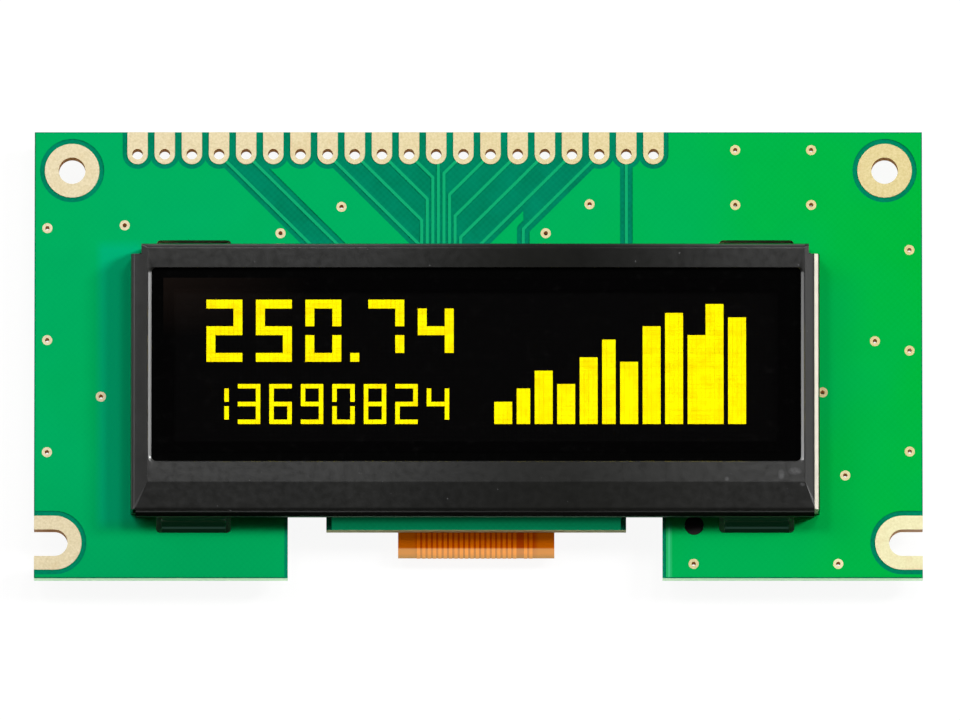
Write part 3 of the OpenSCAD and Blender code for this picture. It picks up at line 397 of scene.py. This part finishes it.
def dark_film():
    """Unlit dots: nearly black squares with thin lines between them."""
    f = Finish("dark_film", Roughness=0.3, Specular_IOR_Level=0.05)
    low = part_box("organic_layer")[0]
    bands = []
    for name, edge in (("X", low.x), ("Y", low.y)):
        step = f.math("DIVIDE", f.minus(f.axis(name), edge + DOT_MARGIN), DOT_PITCH)
        bands.append(f.under(f.away(f.math("FRACT", step), 0.5), 0.42))
    f.colour(f.mix(f.times(*bands), tone(4, 4, 5), tone(10, 10, 9)))
    return f.material


def clear(name, cover, shade, dusty, level, roughness, field=None, corner_tint=None):
    """Glass or film that light passes straight through; cover is the share it holds back at each face.
    Outside the field, where one is given, it is backed with black. Where a colour is given for it, it
    takes that colour towards its upper left corner."""
    f = Finish(name, Specular_IOR_Level=level)
    x, y = f.axis("X"), f.axis("Y")
    dust = f.span(f.noise(900.0, 4.0, 0.7), 0.55, 0.8)
    held = f.span(dust, 0.0, 1.0, cover, cover + 0.02)
    if field:
        low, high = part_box(field)
        inside = f.times(f.within(x, low.x, high.x), f.within(y, low.y, high.y))
        held = f.most(held, f.minus(1.0, inside))
    f.feed("Alpha", held)
    f.rough(f.span(dust, 0.0, 1.0, roughness, roughness + 0.1))
    tint = f.mix(dust, shade, dusty)
    if corner_tint:
        low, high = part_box("front_glass")
        corner = f.times(f.span(x, low.x + 16 * MM, low.x + 2 * MM),
                         f.span(y, high.y - 8 * MM, high.y - 2 * MM))
        tint = f.mix(corner, tint, corner_tint)
    f.colour(tint)
    return f.material


def mottled(name, dark, light, roughness, scale=900.0, depth=0.01, level=0.4, metallic=0.0):
    """Plain finish with fine grain, depth in mm, for moulded, ceramic and metal small parts."""
    f = Finish(name, Specular_IOR_Level=level, Metallic=metallic)
    grain = f.noise(scale, 4.0, 0.6)
    f.colour(f.mix(f.span(grain, 0.3, 0.7), tone(*dark), tone(*light)))
    f.rough(f.span(grain, 0.25, 0.75, roughness - 0.06, roughness + 0.08))
    f.bump(grain, depth * MM, 0.4)
    return f.material


def tail_finish(name):
    return Finish(name, Roughness=0.35, Specular_IOR_Level=0.0, Coat_Weight=0.12, Coat_Roughness=0.08)


def back_light(f, glow, fold_glow):
    """Painted glow that stands in for light through the thin tail from behind, more of it at the
    fold's end.
    """
    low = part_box("flex_tail")[0]
    fold = f.span(f.axis("Y"), low.y + 0.95 * MM, low.y + 0.8 * MM)
    f.glow(f.mix(fold, glow, fold_glow))


def amber_film():
    """Amber film of the flex tail, deeper between its bare edges."""
    f = tail_finish("amber_film")
    low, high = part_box("flex_tail")
    middle, half = (low.x + high.x) / 2, (high.x - low.x) / 2
    edge = f.span(f.math("DIVIDE", f.away(f.axis("X"), middle), half), 0.74, 0.8)
    cloud = f.span(f.noise(300.0, 3.0), 0.3, 0.7)
    film = f.mix(cloud, tone(144, 48, 0), tone(158, 58, 0))
    rim = f.mix(cloud, tone(156, 74, 0), tone(176, 84, 0))
    f.colour(f.mix(edge, film, rim))
    f.bump(f.noise(700.0, 2.0), 0.01 * MM, 0.3)
    # Painted glow through the film from behind.
    back_light(f, f.mix(edge, tone(92, 28, 0), tone(106, 48, 0)), tone(160, 132, 84))
    return f.material


def masked_lines():
    """Copper lines under the tail's cover film."""
    f = tail_finish("masked_lines")
    cloud = f.span(f.noise(900.0, 4.0), 0.3, 0.7)
    f.colour(f.mix(cloud, tone(186, 86, 0), tone(202, 100, 0)))
    # Painted glow through the lines from behind.
    back_light(f, tone(106, 48, 0), tone(180, 142, 86))
    return f.material


FINISHES = {
    "pcb": laminate_mask,
    "front_pour": lambda: copper_mask("mask_on_copper", tone(0, 174, 92), tone(0, 180, 54)),
    "signal_traces": lambda: copper_mask("mask_on_traces", tone(20, 172, 116), tone(20, 170, 104)),
    "rear_pour": lambda: copper_mask("mask_on_rear_copper", tone(0, 172, 86), tone(0, 184, 70)),
    "header_pads": gold,
    "mount_pads": gold,
    "via_pads": gold,
    "rear_lands": gold,
    "polarizer": lambda: clear("polarizer", 0.3, tone(4, 3, 4), tone(14, 12, 12), 0.7, 0.1,
                               corner_tint=tone(44, 34, 29)),
    "front_glass": lambda: clear("panel_glass", 0.05, tone(2, 2, 2), tone(7, 7, 7), 0.5, 0.04,
                                 field="organic_layer"),
    "organic_layer": dark_film,
    "flex_tail": amber_film,
    "flex_conductors": masked_lines,
}
# For each node: name, dark and light tones and roughness, then the grain's scale and depth, the
# specular level and the metal's share where they aren't the usual ones.
PLAIN_FINISHES = {
    "gasket_strips": ("gasket", (14, 14, 15), (24, 24, 25), 0.9, 3000.0, 0.03, 0.2),
    "panel_seal": ("seal", (58, 56, 52), (74, 72, 66), 0.6),
    "rear_glass": ("back_glass", (12, 13, 15), (20, 21, 24), 0.12, 300.0, 0.002),
    "foam_strips": ("foam", (22, 22, 23), (44, 44, 45), 0.95, 2600.0, 0.08, 0.2),
    "driver_chip": ("silicon", (84, 84, 98), (104, 104, 120), 0.25, 500.0, 0.002),
    "locating_pin": ("pin_plastic", (30, 26, 27), (48, 44, 44), 0.6, 900.0, 0.01, 0.1),
    "inductor": ("ferrite", (52, 52, 54), (74, 73, 74), 0.6, 2400.0, 0.03),
    "inductor_ends": ("tin", (176, 176, 180), (206, 206, 208), 0.34, 1500.0, 0.01, 0.5, 0.7),
    "tantalum_capacitors": ("tantalum_body", (196, 142, 34), (214, 160, 46), 0.5),
    "capacitors": ("ceramic", (164, 134, 98), (188, 158, 120), 0.5),
    "resistors": ("resistor_glaze", (18, 18, 20), (32, 32, 34), 0.4),
    "converter": ("epoxy", (28, 28, 30), (42, 42, 44), 0.6, 2600.0, 0.02),
    "solder_fillets": ("solder", (178, 178, 184), (214, 214, 220), 0.26, 800.0, 0.02, 0.5, 0.8),
}
SAME_FINISH = {
    "tantalum_ends": "inductor_ends",
    "capacitor_ends": "inductor_ends",
    "resistor_ends": "inductor_ends",
    "converter_leads": "inductor_ends",
    "diode_leads": "inductor_ends",
    "diode": "converter",
}


def dress(data, finish):
    """Gives a mesh its one finish."""
    data.materials.clear()
    data.materials.append(finish)


made = {node: make() for node, make in FINISHES.items()}
made.update({node: mottled(*values) for node, values in PLAIN_FINISHES.items()})
made.update({node: made[like] for node, like in SAME_FINISH.items()})
for node, finish in made.items():
    dress(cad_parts[node].data, finish)


# ---------------------------------------------------------------- mesh tools

def linked(name, data):
    """New object in the scene."""
    thing = bpy.data.objects.new(name, data)
    bpy.context.scene.collection.objects.link(thing)
    return thing


def settle(piece, slot, *nodes):
    """Lets a piece ride on the module in the place of CAD nodes."""
    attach(piece, "root")
    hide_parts(*nodes)


def work_in(piece):
    """Gives a piece the plain mesh that its modifiers make of it."""
    evaluated = piece.evaluated_get(bpy.context.evaluated_depsgraph_get())
    data = bpy.data.meshes.new_from_object(evaluated)
    piece.modifiers.clear()
    old, name = piece.data, piece.data.name
    piece.data = data
    bpy.data.meshes.remove(old)
    data.name = name


def closed_mesh(name, bm):
    """Mesh of a closed form, its faces turned outwards."""
    bmesh.ops.recalc_face_normals(bm, faces=bm.faces)
    data = bpy.data.meshes.new(name)
    bm.to_mesh(data)
    bm.free()
    return data


def ring_mesh(name, rings, steps=6):
    """Closed sheet through a loop of rectangles with round corners."""
    bm = bmesh.new()
    grid = []
    for x0, x1, y0, y1, z, r in rings:
        line = []
        corners = ((x1 - r, y1 - r, 0), (x0 + r, y1 - r, 90), (x0 + r, y0 + r, 180), (x1 - r, y0 + r, 270))
        for cx, cy, start in corners:
            for i in range(steps + 1):
                a = math.radians(start + 90 * i / steps)
                line.append(bm.verts.new((cx + r * math.cos(a), cy + r * math.sin(a), z)))
        grid.append(line)
    for k, inner in enumerate(grid):
        outer = grid[(k + 1) % len(grid)]
        for i in range(len(inner)):
            j = (i + 1) % len(inner)
            bm.faces.new((inner[i], outer[i], outer[j], inner[j]))
    return closed_mesh(name, bm)


def prism(name, section, x0, x1):
    """Closed prism along X of a section of (y, z) points."""
    bm = bmesh.new()
    ends = [[bm.verts.new((x, y, z)) for y, z in section] for x in (x0, x1)]
    for end in ends:
        bm.faces.new(end)
    for i in range(len(section)):
        j = (i + 1) % len(section)
        bm.faces.new((ends[0][i], ends[0][j], ends[1][j], ends[1][i]))
    return closed_mesh(name, bm)


def carve(piece, tool, operation):
    """Adds or takes away a mesh with an exact boolean, and works it in."""
    other = linked("carving_tool", tool)
    step = piece.modifiers.new("carve", "BOOLEAN")
    step.operation = operation
    step.solver = "EXACT"
    step.object = other
    work_in(piece)
    bpy.data.objects.remove(other)


# ---------------------------------------------------------------- bezel

def bezel_sizes():
    """The sizes of the stamped bezel that the CAD model has, from its box and its sheet's own sizes.
    Rims are the flats' widths, borders the widths from each outer face to the window."""
    low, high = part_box("bezel")
    return {
        "x0": low.x, "x1": high.x, "y0": low.y + TAB_FOLD, "y1": high.y - TAB_FOLD,
        "face": high.z, "foot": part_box("front_pour")[1].z, "back": low.z,
        "left": 1.95 * MM, "right": 1.75 * MM, "top": 2.35 * MM, "bottom": 4.85 * MM,
        "rim": 0.37 * MM, "rim_low": 1.95 * MM,
        "bend": 0.55 * MM, "drop": 0.22 * MM, "relief": 1.0 * MM,
    }


def contour(b, depth, inset):
    """How far each wall's surface stands inside the wall's outer face at a depth below the face."""
    r = b["bend"] - inset

    def bent(below):
        rise = max(r - below, 0.0)
        return b["bend"] - math.sqrt(max(r * r - rise * rise, 0.0))

    out = {"top": bent(depth)}
    for side, rim in (("left", "rim"), ("right", "rim"), ("bottom", "rim_low")):
        run = b[side] - b[rim] - b["bend"]
        if depth < b["drop"]:
            out[side] = b["bend"] + run * (1 - depth / b["drop"])
        else:
            out[side] = bent(depth - b["drop"])
    return out


def depths(b, inset, steps):
    """Depths of the contour lines down one skin of the bezel."""
    r = b["bend"] - inset
    found = {b["drop"] * i / 5 for i in range(6)}
    for i in range(steps + 1):
        fall = r * (1 - math.cos(math.radians(90 * i / steps)))
        found |= {round(fall, 8), round(b["drop"] + fall, 8)}
    found = sorted(found)
    return [d for i, d in enumerate(found) if i == 0 or d - found[i - 1] > 0.004 * MM]


def bezel_rings(b):
    """Closed profile of the bezel as rectangles: x0, x1, y0, y1, height, corner radius. It starts at the
    window's edge, which is coined down, and goes down the outer skin and back up the inner one."""
    face = b["face"]
    window = (b["x0"] + b["left"], b["x1"] - b["right"], b["y0"] + b["bottom"], b["y1"] - b["top"])
    coin, fall, dish, soft = 0.3 * MM, 0.17 * MM, 0.05 * MM, 0.03 * MM

    def around(grow, z):
        return (window[0] - grow, window[1] + grow, window[2] - 0.4 * grow, window[3] + 0.15 * grow, z,
                0.45 * MM + 0.3 * grow)

    rings = [around(0, face - SHEET), around(0, face - fall - soft), around(soft, face - fall)]
    rings += [around(coin - soft, face - dish - 0.005 * MM), around(coin + soft, face - dish)]
    for inset, steps, order in ((0.0, 8, 1), (SHEET, 4, -1)):
        skin = []
        for d in depths(b, inset, steps):
            o = contour(b, d, inset)
            skin.append((b["x0"] + o["left"], b["x1"] - o["right"], b["y0"] + o["bottom"],
                         b["y1"] - o["top"], face - inset - d, soft))
        skin.append((b["x0"] + inset, b["x1"] - inset, b["y0"] + inset, b["y1"] - inset, b["foot"], soft))
        rings += skin[::order]
    return rings


def cut_reliefs(piece, b):
    """Cuts the corners out of the walls, shallower ones below than above."""
    over, relief = 2 * MM, b["relief"]
    bottom, top = b["foot"] - over, b["face"] + over
    for wide, y0, y1 in ((0.5 * relief, b["y0"] - over, b["y0"] + 0.3 * relief),
                         (relief, b["y1"] - relief, b["y1"] + over)):
        section = [(y0, bottom), (y1, bottom), (y1, top), (y0, top)]
        for x0, x1 in ((b["x0"] - over, b["x0"] + wide), (b["x1"] - wide, b["x1"] + over)):
            carve(piece, prism("relief", section, x0, x1), "DIFFERENCE")


def add_tabs(piece, b):
    """Adds the four tabs, which go down from the walls and fold over behind the board."""
    t, r = SHEET, TAB_BEND
    lands = b["back"] + t
    turn = [math.radians(180 + 90 * i / 8) for i in range(9)]
    section = [(-t, b["foot"] + t)]
    section += [(r + (r + t) * math.cos(a), lands + r + (r + t) * math.sin(a)) for a in turn]
    section += [(TAB_FOLD, lands - t), (TAB_FOLD, lands)]
    section += [(r + r * math.cos(a), lands + r + r * math.sin(a)) for a in reversed(turn)]
    section += [(0, b["foot"] + t)]
    middle = (b["x0"] + b["x1"]) / 2
    for x in (middle - TAB_OUT, middle + TAB_OUT):
        for way in ([(b["y1"] + y, z) for y, z in section], [(b["y0"] - y, z) for y, z in section]):
            carve(piece, prism("tab", way, x - TAB_HALF, x + TAB_HALF), "UNION")


def make_bezel():
    """The stamped bezel: one sheet with bends, reliefs, tabs and soft edges; its flats shade evenly."""
    b = bezel_sizes()
    piece = linked("bezel_shell", ring_mesh("bezel_shell", bezel_rings(b)))
    cut_reliefs(piece, b)
    add_tabs(piece, b)
    bevel = piece.modifiers.new("edges", "BEVEL")
    bevel.width = EDGE_BEVEL
    bevel.segments = 2
    bevel.limit_method = "ANGLE"
    bevel.angle_limit = math.radians(50)
    work_in(piece)
    piece.data.polygons.foreach_set("use_smooth", [True] * len(piece.data.polygons))
    piece.data.set_sharp_from_angle(angle=math.radians(40))
    flat = piece.modifiers.new("flat", "WEIGHTED_NORMAL")
    flat.keep_sharp = True
    work_in(piece)
    dress(piece.data, black_paint())
    settle(piece, "black_paint", "bezel")


make_bezel()


# ---------------------------------------------------------------- lit dots

def dot_tree(finish):
    """Nodes that set a small plate on every point."""
    tree = bpy.data.node_groups.new("dot_plates", "GeometryNodeTree")
    face = tree.interface
    face.new_socket("Geometry", in_out="INPUT", socket_type="NodeSocketGeometry")
    side = face.new_socket("Side", in_out="INPUT", socket_type="NodeSocketFloat")
    thick = face.new_socket("Thickness", in_out="INPUT", socket_type="NodeSocketFloat")
    face.new_socket("Geometry", in_out="OUTPUT", socket_type="NodeSocketGeometry")
    new, link = tree.nodes.new, tree.links.new
    given, out = new("NodeGroupInput"), new("NodeGroupOutput")
    size, plate = new("ShaderNodeCombineXYZ"), new("GeometryNodeMeshCube")
    points, put = new("GeometryNodeMeshToPoints"), new("GeometryNodeInstanceOnPoints")
    real, paint = new("GeometryNodeRealizeInstances"), new("GeometryNodeSetMaterial")
    link(given.outputs["Side"], size.inputs[0])
    link(given.outputs["Side"], size.inputs[1])
    link(given.outputs["Thickness"], size.inputs[2])
    link(size.outputs[0], plate.inputs["Size"])
    link(given.outputs["Geometry"], points.inputs["Mesh"])
    link(points.outputs[0], put.inputs["Points"])
    link(plate.outputs["Mesh"], put.inputs["Instance"])
    link(put.outputs[0], real.inputs[0])
    link(real.outputs[0], paint.inputs["Geometry"])
    paint.inputs["Material"].default_value = finish
    link(paint.outputs[0], out.inputs[0])
    return tree, side.identifier, thick.identifier


def lit_spots():
    """Middles of the dots that the CAD's lit shapes cover."""
    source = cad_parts["lit_dots"].data
    low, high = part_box("lit_dots")
    film_low, film_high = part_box("organic_layer")
    shapes = BVHTree.FromPolygons([v.co for v in source.vertices], [p.vertices for p in source.polygons])
    columns = round((film_high.x - film_low.x - 2 * DOT_MARGIN) / DOT_PITCH)
    rows = round((film_high.y - film_low.y - 2 * DOT_MARGIN) / DOT_PITCH)
    spots = []
    for i in range(columns):
        for k in range(rows):
            x = film_low.x + DOT_MARGIN + (i + 0.5) * DOT_PITCH
            y = film_low.y + DOT_MARGIN + (k + 0.5) * DOT_PITCH
            if shapes.ray_cast(Vector((x, y, high.z + MM)), Vector((0, 0, -1)), 3 * MM)[0]:
                spots.append((x, y, (low.z + high.z) / 2))
    return spots


def make_dots():
    """One small plate for each lit dot."""
    low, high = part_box("lit_dots")
    data = bpy.data.meshes.new("lit_plates")
    data.from_pydata(lit_spots(), [], [])
    piece = linked("lit_plates", data)
    finish = lit_yellow()
    tree, side, thickness = dot_tree(finish)
    step = piece.modifiers.new("plates", "NODES")
    step.node_group = tree
    step[side] = DOT_SIDE
    step[thickness] = DOT_THICKNESS * (high.z - low.z)
    work_in(piece)
    dress(piece.data, finish)
    piece.data.polygons.foreach_set("material_index", [0] * len(piece.data.polygons))
    settle(piece, "lit_dots", "lit_dots")


make_dots()


# ---------------------------------------------------------------- stage, lights and camera

def make_stage():
    """Pale floor; a soft glow keeps it white, except under the bezel and the tabs' slots, where its own
    shade stays."""
    half = 0.6
    data = bpy.data.meshes.new("floor")
    corners = [(-half, -half, 0), (half, -half, 0), (half, half, 0), (-half, half, 0)]
    data.from_pydata(corners, [], [(0, 1, 2, 3)])
    floor = linked("floor", data)
    f = Finish("pale_floor", Roughness=0.9, Specular_IOR_Level=0.1, Base_Color=(0.9, 0.9, 0.9, 1))
    low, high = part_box("bezel")
    x, y = f.axis("X"), f.axis("Y")
    covered = f.times(f.within(x, low.x, high.x), f.within(y, low.y + 3.2 * MM, high.y))
    by_slots = f.times(f.within(f.away(x, (low.x + high.x) / 2), 18.6 * MM, 33 * MM),
                       f.within(y, low.y - MM, high.y + 2 * MM))
    open_floor = f.minus(1.0, f.most(covered, by_slots))
    path = f.add("LightPath").outputs
    seen = f.most(path["Is Camera Ray"], path["Is Transmission Ray"])
    glow = f.add("Emission", {"Color": WHITE, "Strength": 1.05})
    share = f.times(seen, open_floor, 0.88)
    both = f.add("MixShader", {0: share, 1: f.shader.outputs[0], 2: glow.outputs[0]})
    f.plug(both.outputs[0], f.tree.nodes["Material Output"].inputs["Surface"])
    data.materials.append(f.material)


def make_world():
    """Dark room with a soft bright band low behind the header edge; white where the camera looks past."""
    world = bpy.data.worlds.new("studio")
    bpy.context.scene.world = world
    world.use_nodes = True
    world.node_tree.nodes.clear()
    w = Nodes(world.node_tree, "Generated")
    band = w.times(w.span(w.axis("Z"), 0.75, 0.2, 0.0, 0.7), w.span(w.axis("Y"), -0.1, 0.8))
    room = w.add("Background", {"Color": WHITE, "Strength": w.plus(band, 0.02)})
    past = w.add("Background", {"Color": WHITE})
    camera_ray = w.add("LightPath").outputs["Is Camera Ray"]
    both = w.add("MixShader", {0: camera_ray, 1: room.outputs[0], 2: past.outputs[0]})
    w.plug(both.outputs[0], w.add("OutputWorld").inputs["Surface"])


def turned_down(away):
    """Turn of a lamp or camera that stands off along a direction and looks back along it."""
    return (-away).to_track_quat("-Z", "Y").to_euler()


def make_lamp(name, place, width, height, share):
    """Soft lamp aimed at the board's middle; share is its part of a level of 1 on the board."""
    spot = Vector(place)
    data = bpy.data.lights.new(name, "AREA")
    data.shape = "RECTANGLE"
    data.size, data.size_y = width, height
    data.energy = share * math.pi ** 2 * spot.length_squared / (spot.z / spot.length)
    lamp = linked(name, data)
    lamp.location = spot
    lamp.rotation_euler = turned_down(spot)


# Name, place, width, height and share of each lamp.
LAMPS = (
    ("key_right", (0.80, 0.36, 0.78), 0.19, 0.44, 0.44),
    ("rim_right", (1.00, 0.08, 0.38), 0.20, 0.20, 0.03),
    ("top_left", (-0.26, 0.36, 0.76), 0.19, 0.19, 0.195),
    ("top_right", (0.22, 0.36, 0.78), 0.19, 0.19, 0.195),
    ("fill_left", (-0.78, 0.42, 0.72), 0.60, 0.50, 0.12),
)


def make_camera():
    """Long lens from almost straight above, leaning towards the lower edge."""
    elevation, distance, field, sensor = math.radians(81), 3.0, 89.72 * MM, 36.0
    aim = Vector((0.154 * MM, -0.473 * MM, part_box("pcb")[1].z))
    away = Vector((0, -math.cos(elevation), math.sin(elevation)))
    data = bpy.data.cameras.new("camera")
    data.sensor_width = sensor
    data.lens = sensor * distance / field
    data.clip_start = 0.01
    camera = linked("camera", data)
    camera.location = aim + away * distance
    camera.rotation_euler = turned_down(away)
    bpy.context.scene.camera = camera


bpy.context.scene.view_settings.view_transform = "Standard"
make_stage()
make_world()
for values in LAMPS:
    make_lamp(*values)
make_camera()
